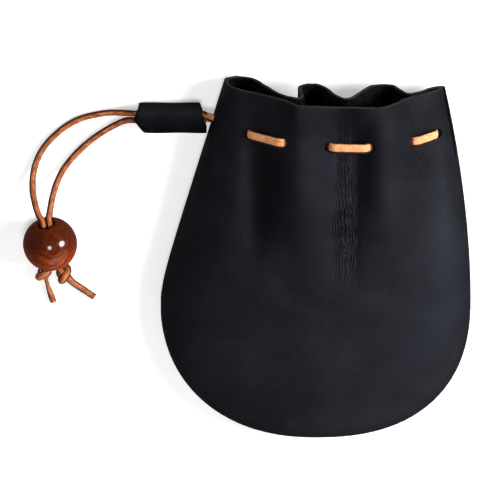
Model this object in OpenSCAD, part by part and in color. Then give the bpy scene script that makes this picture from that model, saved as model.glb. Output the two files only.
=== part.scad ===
// Drawstring dice bag lying on its back: two leather panels sewn together round the
// sides and bottom, a round leather lace threaded through punched holes below the rim,
// a rolled leather slider over both ends of the lace, and a wooden bead above two knots.
// +X is to the right, +Y is towards the mouth and +Z is up from the surface it lies on.

/* [Bag] */
// Width of the bag at its widest
bag_w = 103.4; // [90:0.1:115]
// Length from the bottom seam to the middle of the rim
bag_l = 125.6; // [110:0.1:140]
// Length of the round lower part, below the widest place
round_l = 48.8; // [42:0.1:55]
// How far the left edge comes in at the rim
left_taper = 21.2; // [15:0.1:25]
// How far the right edge comes in at the rim
right_taper = 9.6; // [5:0.1:15]
// How much nearer the mouth the left end of the rim is than the right end
rim_skew = 2.8; // [0:0.1:4]
// Thickness of the leather
leather_t = 1.8; // [1.4:0.1:2.2]
// Height of the side seam over the surface
seam_h = 5.5; // [5:0.1:7]
// Rise of the front over the seam at the belly
belly_rise = 14.5; // [12:0.1:18]

/* [Folds] */
// Height of the folds of the gathered neck, as a share of the full folds
fold_share = 1; // [0.8:0.01:1]
// How far below the rim the folds fade out
fold_l = 70; // [50:1:80]

/* [Lace] */
// Diameter of the lace
lace_d = 2.1; // [1.8:0.1:2.2]
// Diameter of the punched holes
hole_d = 3.2; // [3:0.1:3.6]
// Distance of the holes below the rim
hole_drop = 14.5; // [12:0.1:17]

/* [Slider and bead] */
// Length of the slider
slider_l = 22.8; // [18:0.1:23]
// Width of the slider
slider_w = 10.5; // [9:0.1:12]
// Height of the slider
slider_h = 8.4; // [8.4:0.1:9]
// Width of the slider's slot
slot_w = 5.2; // [5:0.1:5.6]
// Height of the slider's slot
slot_h = 3; // [2.8:0.1:3.2]
// Diameter of the bead
bead_d = 18; // [17:0.1:18]
// Diameter of the hole through the bead
bead_bore = 5.4; // [5.2:0.1:5.8]
// Tilt of the bead's hole over the surface, in degrees
bead_tilt = 15; // [12:1:18]
// Turn of the bead's hole from the +Y direction, in degrees
bead_turn = 9; // [6:1:12]
// Width of each knot
knot_w = 6.6; // [6:0.1:7]

/* [Hidden] */
$fn = 48;

left_p = 2.2;                        // exponents of the superellipse of the lower outline
right_p = 2.4;
bottom_y = -(bag_l + rim_skew / 2) / 2;
rim_y = bottom_y + bag_l;
wide_y = bottom_y + round_l;         // the widest place
back_flat = 0.84;                    // share of the back's half-width that lies flat
left_soft = 0.09;                    // how gently the left edge turns at the widest place
right_bend = 1.8;                    // exponent of the right edge's curve
neck_rise = 22;                      // rise of the front over the seam below the folds
rise_from = -40;                     // where the front starts to rise towards the neck
rise_l = 85;
lace_r = lace_d / 2;
lace_gap = 0.1;                      // gap between a stitch of the lace and the leather
stitch_bend = 0.28;                  // share of a stitch that each of its ends takes to rise

cols = 48;                           // steps across a panel
low_rows = 8;                        // steps up its round lower part
high_rows = 17;                      // steps from there to the rim
rows = low_rows + high_rows;
end_share = 0.06;                    // keeps the cells at the ends of the widest row open

thread_d = 0.8;
thread_bite = 0.12;                  // how deep the thread sits in the leather

slider_x = -37.4;                    // the end of the slider beside the bag
slider_y = 49.4;
slider_z = slider_h / 2;
slider_mouth = slider_x - slider_l;  // its far end
lane = 1.15;                         // how far each lace runs from the slider's middle
lead_turn_upper = [-35.8, 50.2, 5.9];
lead_turn_lower = [-35.6, 48.4, 2.9];

bead_c = [-88.1, 6.5, bead_d / 2];
bead_lane = 1.15;                    // how far each lace runs from the bead's axis
bead_axis = [-sin(bead_turn) * cos(bead_tilt), cos(bead_turn) * cos(bead_tilt), sin(bead_tilt)];
bead_side = [-cos(bead_turn), -sin(bead_turn), 0];

// Heights across the gathered neck: share of the way to the side seam, height. The front's
// are over the seam and the back's over the surface that the bag lies on.
neck_mid = 5.2;
neck_half_w = 39;
fold_soft = 0.03;                    // how far each height is blended into the next ones
front_neck = [[-1, 0], [-0.93, 7.5], [-0.84, 11], [-0.7, 13.2], [-0.58, 14.6], [-0.47, 18.2],
    [-0.37, 22.4], [-0.22, 25.2], [-0.05, 25.6], [0.1, 25], [0.22, 23.6], [0.3, 23.4], [0.4, 24],
    [0.5, 22.6], [0.58, 19.6], [0.66, 15.6], [0.75, 11], [0.84, 7.6], [0.92, 5.4], [1, 0]];
back_neck = [[-1, 5.5], [-0.94, 2.2], [-0.86, 0.8], [-0.76, 1], [-0.67, 4], [-0.57, 10.4],
    [-0.49, 15.4], [-0.42, 17.8], [-0.36, 16.8], [-0.28, 9.6], [-0.21, 5.6], [-0.14, 5.4], [-0.06, 9],
    [0.03, 15.4], [0.1, 17.6], [0.15, 17], [0.22, 12.8], [0.31, 6.2], [0.4, 2.4], [0.48, 1.2],
    [0.55, 2.2], [0.62, 6.6], [0.68, 10.6], [0.76, 9.8], [0.96, 6.6], [1, 5.5]];

// The holes from the front left round to the back left, as places across the bag
front_holes = [-22.6, -10.4, 4, 17.6, 31.6, 40.4];
back_holes = [36.4, 27.6, 15.6, 3.2, -4.6, -17.2];

// Both free ends, from the slider's mouth to the knots
outer_route = [[-60.2, 50.55, 4.2], [-64, 50.6, 3.6], [-68.5, 50.3, 2.6], [-73, 49.3, 1.8],
    [-77.5, 47.9, 1.4], [-82, 45.5, 1.2], [-86, 42.3, 1.2], [-89.6, 38.3, 1.2], [-92.2, 33.7, 1.3],
    [-93.6, 28.9, 2.2], [-93.9, 24.7, 4.4], [-93.2, 20.9, 7.6], [-91.8, 17.1, 10.4]];
inner_route = [[-60.2, 48.25, 4.2], [-62.6, 48.1, 4], [-65.6, 46.7, 3.4], [-69.4, 44.2, 2.4],
    [-73.2, 41.3, 1.7], [-77, 37.9, 1.3], [-80.6, 34.1, 1.3], [-83.8, 29.9, 2], [-86, 25.9, 4.4],
    [-87.4, 21.7, 8], [-88.1, 17.9, 10.6]];
outer_knot = [-90.4, -5.9, 3];
inner_knot = [-83.8, -6.3, 3];
outer_tail = [[-90.2, -7.1, 2.6], [-89.6, -9.7, 1.6], [-88.6, -13.1, 1.2], [-87.4, -16.9, 1.2]];
inner_tail = [[-83, -7.5, 2.6], [-80.8, -9.9, 1.6], [-77.4, -12.5, 1.2], [-73.8, -15.1, 1.2]];

function unit(v) = v / norm(v);
function smooth(t) = let (c = min(1, max(0, t))) c * c * (3 - 2 * c);
function last(list) = list[len(list) - 1];

// Outline of the bag seen from above
function up(y) = max(0, (y - wide_y) / (rim_y - wide_y));
function ease(t, soft) = (sqrt(t * t + soft * soft) - soft) / (sqrt(1 + soft * soft) - soft);
function left_x(y) = -bag_w / 2 + left_taper * ease(up(y), left_soft);
function right_x(y) = bag_w / 2 - right_taper * pow(up(y), right_bend);
function mid_x(y) = (left_x(y) + right_x(y)) / 2;
function half_w(y) = (right_x(y) - left_x(y)) / 2;
function across(x, y) = (x - mid_x(y)) / half_w(y);
function rim_at(u) = rim_y - rim_skew / 2 * u;
function hole_y(x) = rim_at(across(x, rim_y - hole_drop)) - hole_drop;

// Distance from the middle of the bag as a share of the way to its outline
function round_p(u) = u < 0 ? left_p : right_p;
function spread(x, y) =
    let (low = max(0, (wide_y - y) / round_l), u = across(x, y), p = round_p(u))
    min(1, pow(pow(abs(u), p) + pow(low, p), 1 / p));
function dome(x, y) = sqrt(max(0, 1 - pow(spread(x, y), 2)));

// Heights of the outer faces of the two panels: a plain belly that turns into the folded neck
function mix(a, b, t) = a + (b - a) * t;
function gather(y) = smooth((y - rim_y + fold_l) / (fold_l - hole_drop));
function neck_share(x, y) =
    let (u = across(x, y)) mix((x - neck_mid) / neck_half_w, u, u * u);
function along_neck(profile, s) =
    (lookup(s - fold_soft, profile) + 2 * lookup(s, profile) + lookup(s + fold_soft, profile)) / 4;
function front_rise(y) = mix(belly_rise, neck_rise, smooth((y - rise_from) / rise_l));
function front_z(x, y) =
    seam_h + mix(front_rise(y) * dome(x, y), fold_share * along_neck(front_neck, neck_share(x, y)),
        gather(y));
function back_z(x, y) =
    let (edge = max(0, (spread(x, y) - back_flat) / (1 - back_flat)))
    mix(seam_h * (1 - sqrt(max(0, 1 - edge * edge))),
        fold_share * along_neck(back_neck, neck_share(x, y)), gather(y));
function panel_z(x, y, front) = front ? front_z(x, y) : back_z(x, y);

// Place of column i and row j of a panel
function grid_u(i) = 0.6 * sin(-90 + 180 * i / cols) + 0.4 * (2 * i / cols - 1);
function grid_y(i, j) =
    let (u = grid_u(i), p = round_p(u),
        depth = max(end_share, pow(max(0, 1 - pow(abs(u), p)), 1 / p)))
    j <= low_rows
        ? wide_y - round_l * depth * cos(90 * j / low_rows)
        : wide_y + (rim_at(grid_u(i)) - wide_y) * (j - low_rows) / high_rows;
function at_seam(i, j) = i == 0 || i == cols || j == 0;
function grid_point(i, j, front) =
    let (y = grid_y(i, j), x = mid_x(y) + half_w(y) * grid_u(i))
    [x, y, at_seam(i, j) ? seam_h : panel_z(x, y, front)];

// Direction into the leather, which is level at the seam
function to_middle(n, p) = n * (n * ([mid_x(p[1]), max(p[1], wide_y), seam_h] - p) < 0 ? -1 : 1);
function inward(i, j, front) =
    let (
        a = grid_point(max(0, i - 1), j, front), b = grid_point(min(cols, i + 1), j, front),
        c = grid_point(i, max(0, j - 1), front), d = grid_point(i, min(rows, j + 1), front),
        e = j == 0 ? b - a : d - c
    ) at_seam(i, j)
        ? to_middle(unit([e[1], -e[0], 0]), grid_point(i, j, front))
        : unit(cross(b - a, d - c) * (front ? -1 : 1));

// A panel is its outer and inner faces, joined along all four edges
module panel(front) {
    stride = cols + 1;
    layer = stride * (rows + 1);
    outer = [for (j = [0:rows], i = [0:cols]) grid_point(i, j, front)];
    inner = [for (j = [0:rows], i = [0:cols])
        grid_point(i, j, front) + leather_t * inward(i, j, front)];
    function quad(a, b, c, d) = [[a, b, c], [a, c, d]];
    outer_faces = [for (j = [0:rows - 1], i = [0:cols - 1], f = quad(
        j * stride + i, (j + 1) * stride + i, (j + 1) * stride + i + 1, j * stride + i + 1)) f];
    inner_faces = [for (f = outer_faces) [f[2] + layer, f[1] + layer, f[0] + layer]];
    border = concat([for (i = [0:cols - 1]) i], [for (j = [0:rows - 1]) j * stride + cols],
        [for (i = [cols:-1:1]) rows * stride + i], [for (j = [rows:-1:1]) j * stride]);
    edge_faces = [for (k = [0:len(border) - 1])
        let (a = border[k], b = border[(k + 1) % len(border)])
        for (f = quad(a, b, b + layer, a + layer)) f];
    faces = concat(outer_faces, inner_faces, edge_faces);
    polyhedron(points = concat(outer, inner),
        faces = front ? faces : [for (f = faces) [f[2], f[1], f[0]]]);
}

// Unit normal that points out of the bag
function outward(x, y, front) =
    let (
        step = 0.05,
        dx = (panel_z(x + step, y, front) - panel_z(x - step, y, front)) / (2 * step),
        dy = (panel_z(x, y + step, front) - panel_z(x, y - step, front)) / (2 * step)
    ) unit(front ? [-dx, -dy, 1] : [dx, dy, -1]);

// A place on the leather at x below the rim, lifted out of the bag by rise
function on_leather(x, front, rise) =
    let (y = hole_y(x))
    [x, y, panel_z(x, y, front)] + (rise - leather_t / 2) * outward(x, y, front);

module punched_holes(places, front) {
    for (x = places) {
        n = outward(x, hole_y(x), front);
        translate(on_leather(x, front, 0))
            rotate([0, acos(n[2]), atan2(n[1], n[0])])
                cylinder(d = hole_d, h = 3 * leather_t, center = true);
    }
}

// Both ends of the lace leave by a hole close to the left seam
front_end_hole = [-34.2, 50, 7.4];
back_end_hole = [-33.4, 48.6, 3.2];

module end_hole(place) {
    translate(place) rotate([0, 90, 0]) cylinder(d = hole_d, h = 3 * leather_t, center = true);
}

// A round tube along a route, with flat ends; up_ref is never along the route
module tube(route, d, up_ref, sides = 8) {
    end = len(route) - 1;
    function along(k) = unit(route[min(end, k + 1)] - route[max(0, k - 1)]);
    function ring(k) =
        let (t = along(k), side = unit(cross(t, up_ref)), top = cross(side, t))
        [for (s = [0:sides - 1])
            route[k] + d / 2 * (cos(360 * s / sides) * side + sin(360 * s / sides) * top)];
    walls = [for (k = [0:end - 1], s = [0:sides - 1])
        let (a = k * sides + s, b = k * sides + (s + 1) % sides) [a, b, b + sides, a + sides]];
    polyhedron(points = [for (k = [0:end], p = ring(k)) p], faces = concat(walls,
        [[for (s = [sides - 1:-1:0]) s], [for (s = [0:sides - 1]) end * sides + s]]));
}

// The lace's way from one hole to the next, outside or inside the leather
function stitch(x1, x2, front, outside) =
    let (rise = (outside ? 1 : -1) * (leather_t / 2 + lace_r + lace_gap),
        a = on_leather(x1, front, rise), b = on_leather(x2, front, rise))
    [on_leather(x1, front, 0), mix(a, b, stitch_bend), mix(a, b, 1 - stitch_bend)];
function stitches(places, front, outside_first) =
    [for (k = [0:len(places) - 2])
        for (p = stitch(places[k], places[k + 1], front, (k % 2 == 0) == outside_first)) p];

module front_panel() {
    color([0.09, 0.09, 0.11]) difference() {
        panel(true);
        punched_holes(front_holes, true);
        end_hole(front_end_hole);
    }
}

module back_panel() {
    color([0.07, 0.07, 0.08]) difference() {
        panel(false);
        punched_holes(back_holes, false);
        end_hole(back_end_hole);
    }
}

// The seam's thread runs inside the bag, in the corner between the two panels
module seam_thread() {
    inset = leather_t + thread_d / 2 - thread_bite;
    side_steps = 9;
    low_steps = 22;
    top = rim_y - rim_skew;
    function left(k) = let (y = mix(top, wide_y, k / side_steps)) [left_x(y) + inset, y, seam_h];
    function right(k) = let (y = mix(wide_y, top, k / side_steps)) [right_x(y) - inset, y, seam_h];
    function low(k) =
        let (a = 180 * k / low_steps, e = 2 / round_p(-cos(a)))
        [-(bag_w / 2 - inset) * sign(cos(a)) * pow(abs(cos(a)), e),
            wide_y - (round_l - inset) * pow(sin(a), e), seam_h];
    color([0.12, 0.12, 0.12]) tube(concat([for (k = [0:side_steps - 1]) left(k)],
        [for (k = [0:low_steps]) low(k)], [for (k = [1:side_steps]) right(k)]),
        thread_d, [0, 0, 1], 6);
}

// The held part of the lace: in by the front's end hole, round the neck, out by the back's
module lace_neck() {
    way_in = [lead_turn_upper, front_end_hole, [-32.2, 49.7, 8.6],
        on_leather(-28.5, true, -leather_t / 2 - lace_r - 0.4)];
    round_front = stitches(front_holes, true, true);
    across_right = [on_leather(last(front_holes), true, 0)];
    round_back = stitches(back_holes, false, true);
    way_out = [on_leather(last(back_holes), false, 0), [-20.4, 48.7, 5.6], [-25, 48.9, 4],
        [-30.6, 48.8, 3.6], back_end_hole, lead_turn_lower];
    color([0.72, 0.4, 0.2])
        tube(concat(way_in, round_front, across_right, round_back, way_out), lace_d, [0, 1, 0]);
}

// Both ends of the lace run side by side from the bag through the slider
module lead(turn, dip, side) {
    y = slider_y + side * lane;
    color([0.72, 0.4, 0.2]) tube(concat([turn, [slider_x + 0.4, y, dip]],
        [for (k = [3:-1:0]) [slider_mouth + (slider_l - 1.2) * k / 3, y, slider_z]]),
        lace_d, [0, 1, 0]);
}

module lead_upper() { lead(lead_turn_upper, 4.7, 1); }
module lead_lower() { lead(lead_turn_lower, 3.7, -1); }

// A flat bar with round sides, along X
module round_bar(w, h, l) {
    rotate([0, 90, 0]) linear_extrude(height = l) {
        square([h, w - h], center = true);
        for (side = [-1, 1]) translate([0, side * (w - h) / 2]) circle(d = h);
    }
}

module slider() {
    color([0.1, 0.1, 0.1]) translate([slider_mouth, slider_y, slider_z]) difference() {
        round_bar(slider_w, slider_h, slider_l);
        translate([-1, 0, 0]) round_bar(slot_w, slot_h, slider_l + 2);
    }
}

module bead() {
    color([0.42, 0.16, 0.07]) translate(bead_c) rotate([bead_tilt - 90, 0, bead_turn]) difference() {
        sphere(d = bead_d);
        cylinder(d = bead_bore, h = bead_d + 2, center = true);
    }
}

// The stretch through the bead and on to a knot, on one side of its axis
function through_bead(side, knot) =
    [for (k = [9.6, 3.2, -3.2, -9.4]) bead_c + k * bead_axis + side * bead_lane * bead_side,
        knot + [0, 1.8, 0.6]];

module strand_outer() {
    color([0.72, 0.4, 0.2]) tube(concat(outer_route, through_bead(1, outer_knot)), lace_d, [0, 0, 1]);
}

module strand_inner() {
    color([0.72, 0.4, 0.2]) tube(concat(inner_route, through_bead(-1, inner_knot)), lace_d, [0, 0, 1]);
}

// An overhand knot's outer shape with the lace's short end
module knot(place, tail) {
    lobe = lace_d * 1.9;
    color([0.68, 0.36, 0.18]) {
        hull() for (side = [-1, 1])
            translate(place + [side * (knot_w - lobe) / 2, 0, 0]) sphere(d = lobe, $fn = 20);
        tube(tail, lace_d, [0, 0, 1]);
    }
}

module knot_outer() { knot(outer_knot, outer_tail); }
module knot_inner() { knot(inner_knot, inner_tail); }

front_panel();
back_panel();
seam_thread();
lace_neck();
lead_upper();
lead_lower();
slider();
strand_outer();
strand_inner();
bead();
knot_outer();
knot_inner();
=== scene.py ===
"""Drawstring dice bag lying on its back: leather panels, lace, slider, bead and knots."""

import math

import bmesh
import bpy
import numpy as np
from mathutils import Matrix, Vector


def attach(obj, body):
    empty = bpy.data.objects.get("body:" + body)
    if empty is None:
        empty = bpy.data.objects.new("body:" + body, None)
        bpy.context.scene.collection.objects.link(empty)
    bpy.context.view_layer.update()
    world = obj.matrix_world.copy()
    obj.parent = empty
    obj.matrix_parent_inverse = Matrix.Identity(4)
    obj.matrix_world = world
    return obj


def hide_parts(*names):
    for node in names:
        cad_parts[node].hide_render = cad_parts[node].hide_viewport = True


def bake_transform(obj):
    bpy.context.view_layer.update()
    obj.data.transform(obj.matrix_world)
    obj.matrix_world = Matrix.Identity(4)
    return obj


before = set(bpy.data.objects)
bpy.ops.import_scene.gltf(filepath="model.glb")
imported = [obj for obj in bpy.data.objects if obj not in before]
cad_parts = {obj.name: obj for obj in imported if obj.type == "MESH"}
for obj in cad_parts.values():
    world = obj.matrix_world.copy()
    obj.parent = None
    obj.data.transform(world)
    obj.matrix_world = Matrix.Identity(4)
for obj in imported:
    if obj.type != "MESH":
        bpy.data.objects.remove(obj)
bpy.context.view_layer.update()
MM = 0.001

# Sizes in mm, as in the CAD source
BAG_W, BAG_L, ROUND_L = 103.4, 125.6, 48.8
LEFT_TAPER, RIGHT_TAPER, RIM_SKEW = 21.2, 9.6, 2.8
LEATHER_T, SEAM_H = 1.8, 5.5
BELLY_RISE, NECK_RISE, FOLD_L = 14.5, 22.0, 70.0
LACE_D, HOLE_D, HOLE_DROP = 2.1, 3.2, 14.5
LEFT_P, RIGHT_P, BACK_FLAT, END_SHARE = 2.2, 2.4, 0.84, 0.06
NECK_MID, NECK_HALF_W = 5.2, 39.0
BOTTOM_Y = -(BAG_L + RIM_SKEW / 2) / 2
RIM_Y = BOTTOM_Y + BAG_L
WIDE_Y = BOTTOM_Y + ROUND_L
SLIDER_MOUTH, SLIDER_Y, SLIDER_Z, SLIDER_L = -60.2, 49.4, 4.2, 22.8
SLIDER_X = SLIDER_MOUTH + SLIDER_L
LANE = 1.15
BEAD_C = np.array([-88.1, 6.5, 9.0])
BEAD_D, BEAD_BORE, BEAD_TILT, BEAD_TURN = 18.0, 5.4, 15.0, 9.0

# Points round a lace, and the bevel of a cut end: its length as a share of half the height, and the
# share of the width that is left
LACE_SIDES, END_BEVEL, END_NARROW = 24, 0.18, 0.84
# The middle of the valley below the middle stitch, as x in mm
VALLEY_X = 8.8


def smooth(t):
    t = np.clip(t, 0.0, 1.0)
    return t * t * (3 - 2 * t)


def mix(a, b, t):
    return a + (b - a) * t


def hump(t):
    return np.exp(-t * t)


def unit(v):
    return v / np.maximum(np.linalg.norm(v, axis=-1, keepdims=True), 1e-9)


def add_object(name, data):
    obj = bpy.data.objects.new(name, data)
    bpy.context.scene.collection.objects.link(obj)
    return obj


def add_mesh(name, bm):
    """An object of what bm holds; bm is used up."""
    mesh = bpy.data.meshes.new(name)
    bm.to_mesh(mesh)
    bm.free()
    return add_object(name, mesh)


# ---- camera
PICTURE_W = 165.8  # mm across the whole picture, at the target
CAMERA_AWAY, CAMERA_TILT = 2.5, math.radians(20)
CAMERA_TARGET = Vector((-0.0218, 0.0047, 0.010))


def add_camera():
    """The photo's view: nearly overhead, tilted towards the mouth of the bag."""
    data = bpy.data.cameras.new("photo_camera")
    data.sensor_width = 36
    data.lens = data.sensor_width / PICTURE_W * CAMERA_AWAY * 1000
    cam = add_object("photo_camera", data)
    cam.location = CAMERA_TARGET + CAMERA_AWAY * Vector((0, math.sin(CAMERA_TILT), math.cos(CAMERA_TILT)))
    cam.rotation_euler = (-CAMERA_TILT, 0, 0)
    bpy.context.scene.camera = cam


add_camera()


# ---- mesh helpers
def new_object(name, points, faces, materials, slots=None):
    """A smoothly shaded mesh object from points in mm and faces; slots picks each face's material."""
    mesh = bpy.data.meshes.new(name)
    mesh.from_pydata((np.asarray(points, float) * MM).tolist(), [], [list(f) for f in faces])
    for m in materials:
        mesh.materials.append(m)
    if slots is not None:
        mesh.polygons.foreach_set("material_index", np.asarray(slots, np.int32))
    mesh.polygons.foreach_set("use_smooth", np.full(len(mesh.polygons), True))
    mesh.update()
    return add_object(name, mesh)


def set_values(obj, name, values):
    """Stores one number for each point of the mesh, or three."""
    values = np.asarray(values, np.float32)
    kind = "FLOAT" if values.ndim == 1 else "FLOAT_VECTOR"
    data = obj.data.attributes.new(name, kind, "POINT").data
    data.foreach_set("value" if values.ndim == 1 else "vector", values.ravel())


def set_lace_values(lace, name, values):
    """Stores one number for each ring of a lace without shown ends, and 0 at its two end points."""
    set_values(lace, name, np.append(np.repeat(values, LACE_SIDES), [0, 0]))


def ring_faces(rings, sides, closed=False):
    """Quads from each ring of points to the next, and from the last to the first if closed."""
    faces = []
    for k in range(rings if closed else rings - 1):
        here, there = k * sides, (k + 1) % rings * sides
        for s in range(sides):
            t = (s + 1) % sides
            faces.append((here + s, here + t, there + t, there + s))
    return faces


def run_along(line):
    """How far along the line each of its points is."""
    return np.concatenate([[0], np.cumsum(np.linalg.norm(np.diff(line, axis=0), axis=1))])


def resample(line, step):
    """The same line with a point about every step."""
    run = run_along(line)
    s = np.linspace(0, run[-1], max(3, int(round(run[-1] / step)) + 1))
    return np.stack([np.interp(s, run, line[:, k]) for k in range(line.shape[1])], axis=1)


def spline(points, step):
    """Points every step mm on a smooth curve through the given ones."""
    p = np.array(points, float)
    p = np.vstack([2 * p[0] - p[1], p, 2 * p[-1] - p[-2]])
    t = np.linspace(0, 1, 24, endpoint=False)[:, None]
    line = [0.5 * (2 * b + (c - a) * t + (2 * a - 5 * b + 4 * c - d) * t**2
                   + (3 * b - a - 3 * c + d) * t**3)
            for a, b, c, d in zip(p, p[1:], p[2:], p[3:])]
    return resample(np.vstack([*line, p[-2:-1]]), step)


def length_of(line):
    return float(np.linalg.norm(np.diff(line, axis=0), axis=1).sum())


def carried_frames(path, first_up):
    """Side and top directions along a path, turned no more than the path turns."""
    along = unit(np.gradient(path, axis=0))
    top = np.zeros_like(path)
    v = np.asarray(first_up, float)
    for k, t in enumerate(along):
        v = unit(v - t * (v @ t))
        top[k] = v
    return along, np.cross(along, top), top


def sweep(name, path, half_w, half_h, up, looks, sides=LACE_SIDES, ends=(True, True), wobble=0.0,
          seed=0):
    """A tube along path with an oval section; up is one first direction, or one at each point.

    looks are the materials of the side and of the cut ends, and ends says which ends are shown.
    """
    path = np.asarray(path, float)
    up = np.asarray(up, float)
    if up.ndim == 1:
        along, side, top = carried_frames(path, up)
    else:
        along = unit(np.gradient(path, axis=0))
        side = unit(np.cross(along, up))
        top = np.cross(side, along)
    n = len(path)
    w = np.broadcast_to(np.asarray(half_w, float), n).copy()
    h = np.broadcast_to(np.asarray(half_h, float), n).copy()
    if wobble:
        rng = np.random.default_rng(seed)
        rough = rng.normal(size=(2, n))
        kernel = np.hanning(9) / np.hanning(9).sum()
        w *= 1 + wobble * np.convolve(rough[0], kernel, mode="same")
        h *= 1 + wobble * np.convolve(rough[1], kernel, mode="same")
    run = run_along(path)
    rows = [(path[k], side[k] * w[k], top[k] * h[k], run[k]) for k in range(n)]
    bevel = END_BEVEL * h.min()

    def end_row(k, sign):
        centre = path[k] + sign * along[k] * bevel
        return centre, side[k] * w[k] * END_NARROW, top[k] * h[k] * END_NARROW, run[k]

    if ends[0]:
        rows.insert(0, end_row(0, -1))
    if ends[1]:
        rows.append(end_row(-1, 1))
    angle = np.linspace(0, 2 * math.pi, sides, endpoint=False)
    cos, sin = np.cos(angle)[:, None], np.sin(angle)[:, None]
    points = [c + cos * a + sin * b for c, a, b, _ in rows]
    flow = [np.stack([np.full(sides, r), np.cos(angle), np.sin(angle)], axis=1) for *_, r in rows]
    faces = [(a, d, c, b) for a, b, c, d in ring_faces(len(rows), sides)]
    cut = [0] * len(faces)
    for end, k in enumerate((0, len(rows) - 1)):
        points.append(rows[k][0][None])
        flow.append(np.array([[rows[k][3], 0, 0]]))
        c = len(rows) * sides + end
        for s in range(sides):
            a, b = k * sides + s, k * sides + (s + 1) % sides
            faces.append((a, c, b) if end else (a, b, c))
            cut.append(1 if ends[end] else 0)
    obj = new_object(name, np.vstack(points), faces, looks, cut)
    set_values(obj, "flow", np.vstack(flow))
    return obj


# ---- materials
class Nodes:
    """Short calls for building a node tree. A colour is a socket or three numbers."""

    def __init__(self, tree):
        self.tree = tree

    def paint(self, shader, base, rough, normal, **more):
        """Fills the shader's usual inputs, and more: shine, tint, coat and coat_rough."""
        names = {"shine": "Specular IOR Level", "tint": "Specular Tint", "coat": "Coat Weight",
                 "coat_rough": "Coat Roughness"}
        self.fill(shader, {"Base Color": base, "Roughness": rough, "Normal": normal})
        self.fill(shader, {names[key]: value for key, value in more.items()})

    def add(self, kind, **values):
        node = self.tree.nodes.new(kind)
        for key, value in values.items():
            setattr(node, key, value)
        return node

    def put(self, socket, value):
        if isinstance(value, bpy.types.NodeSocket):
            self.tree.links.new(value, socket)
        elif socket.type == "RGBA":
            socket.default_value = (*value, 1)
        else:
            socket.default_value = value

    def fill(self, node, values):
        """Links or sets several inputs by name."""
        for key, value in values.items():
            self.put(node.inputs[key], value)

    def point(self):
        return self.add("ShaderNodeTexCoord").outputs["Object"]

    def value(self, name, vector=False):
        node = self.add("ShaderNodeAttribute", attribute_name=name)
        return node.outputs["Vector" if vector else "Fac"]

    def axes(self, vector):
        node = self.add("ShaderNodeSeparateXYZ")
        self.put(node.inputs[0], vector)
        return node.outputs

    def scaled(self, vector, scale):
        node = self.add("ShaderNodeMapping")
        self.fill(node, {"Vector": vector, "Scale": scale})
        return node.outputs[0]

    def noise(self, vector, scale, detail=3.0, rough=0.5, distort=0.0):
        node = self.add("ShaderNodeTexNoise")
        self.fill(node, {"Vector": vector, "Scale": scale, "Detail": detail, "Roughness": rough,
                         "Distortion": distort})
        return node.outputs["Fac"]

    def cells(self, vector, scale):
        node = self.add("ShaderNodeTexVoronoi")
        self.fill(node, {"Vector": vector, "Scale": scale})
        return node.outputs["Distance"]

    def wave(self, vector, scale, distort=0.0, detail=2.0, detail_scale=1.0, **kind):
        node = self.add("ShaderNodeTexWave", **kind)
        self.fill(node, {"Vector": vector, "Scale": scale, "Distortion": distort, "Detail": detail,
                         "Detail Scale": detail_scale})
        return node.outputs["Fac"]

    def math(self, operation, a, b=0.0, c=0.0):
        node = self.add("ShaderNodeMath", operation=operation)
        for socket, value in zip(node.inputs, (a, b, c)):
            self.put(socket, value)
        return node.outputs[0]

    def times(self, a, b):
        return self.math("MULTIPLY", a, b)

    def span(self, value, low, high, out_low=0.0, out_high=1.0):
        node = self.add("ShaderNodeMapRange", interpolation_type="SMOOTHSTEP")
        self.fill(node, {"Value": value, "From Min": low, "From Max": high, "To Min": out_low,
                         "To Max": out_high})
        return node.outputs[0]

    def blend(self, share, a, b):
        node = self.add("ShaderNodeMix", data_type="RGBA")
        for socket, value in zip((node.inputs["Factor"], node.inputs[6], node.inputs[7]), (share, a, b)):
            self.put(socket, value)
        return node.outputs[2]

    def bump(self, height, strength, distance, normal=None):
        node = self.add("ShaderNodeBump")
        self.fill(node, {"Strength": strength, "Distance": distance, "Height": height})
        if normal is not None:
            self.put(node.inputs["Normal"], normal)
        return node.outputs[0]


def material(name):
    """A new material, its short node calls and its shader."""
    m = bpy.data.materials.new(name)
    m.use_nodes = True
    tree = m.node_tree
    tree.nodes.clear()
    out = tree.nodes.new("ShaderNodeOutputMaterial")
    shader = tree.nodes.new("ShaderNodeBsdfPrincipled")
    tree.links.new(shader.outputs[0], out.inputs[0])
    return m, Nodes(tree), shader


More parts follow.
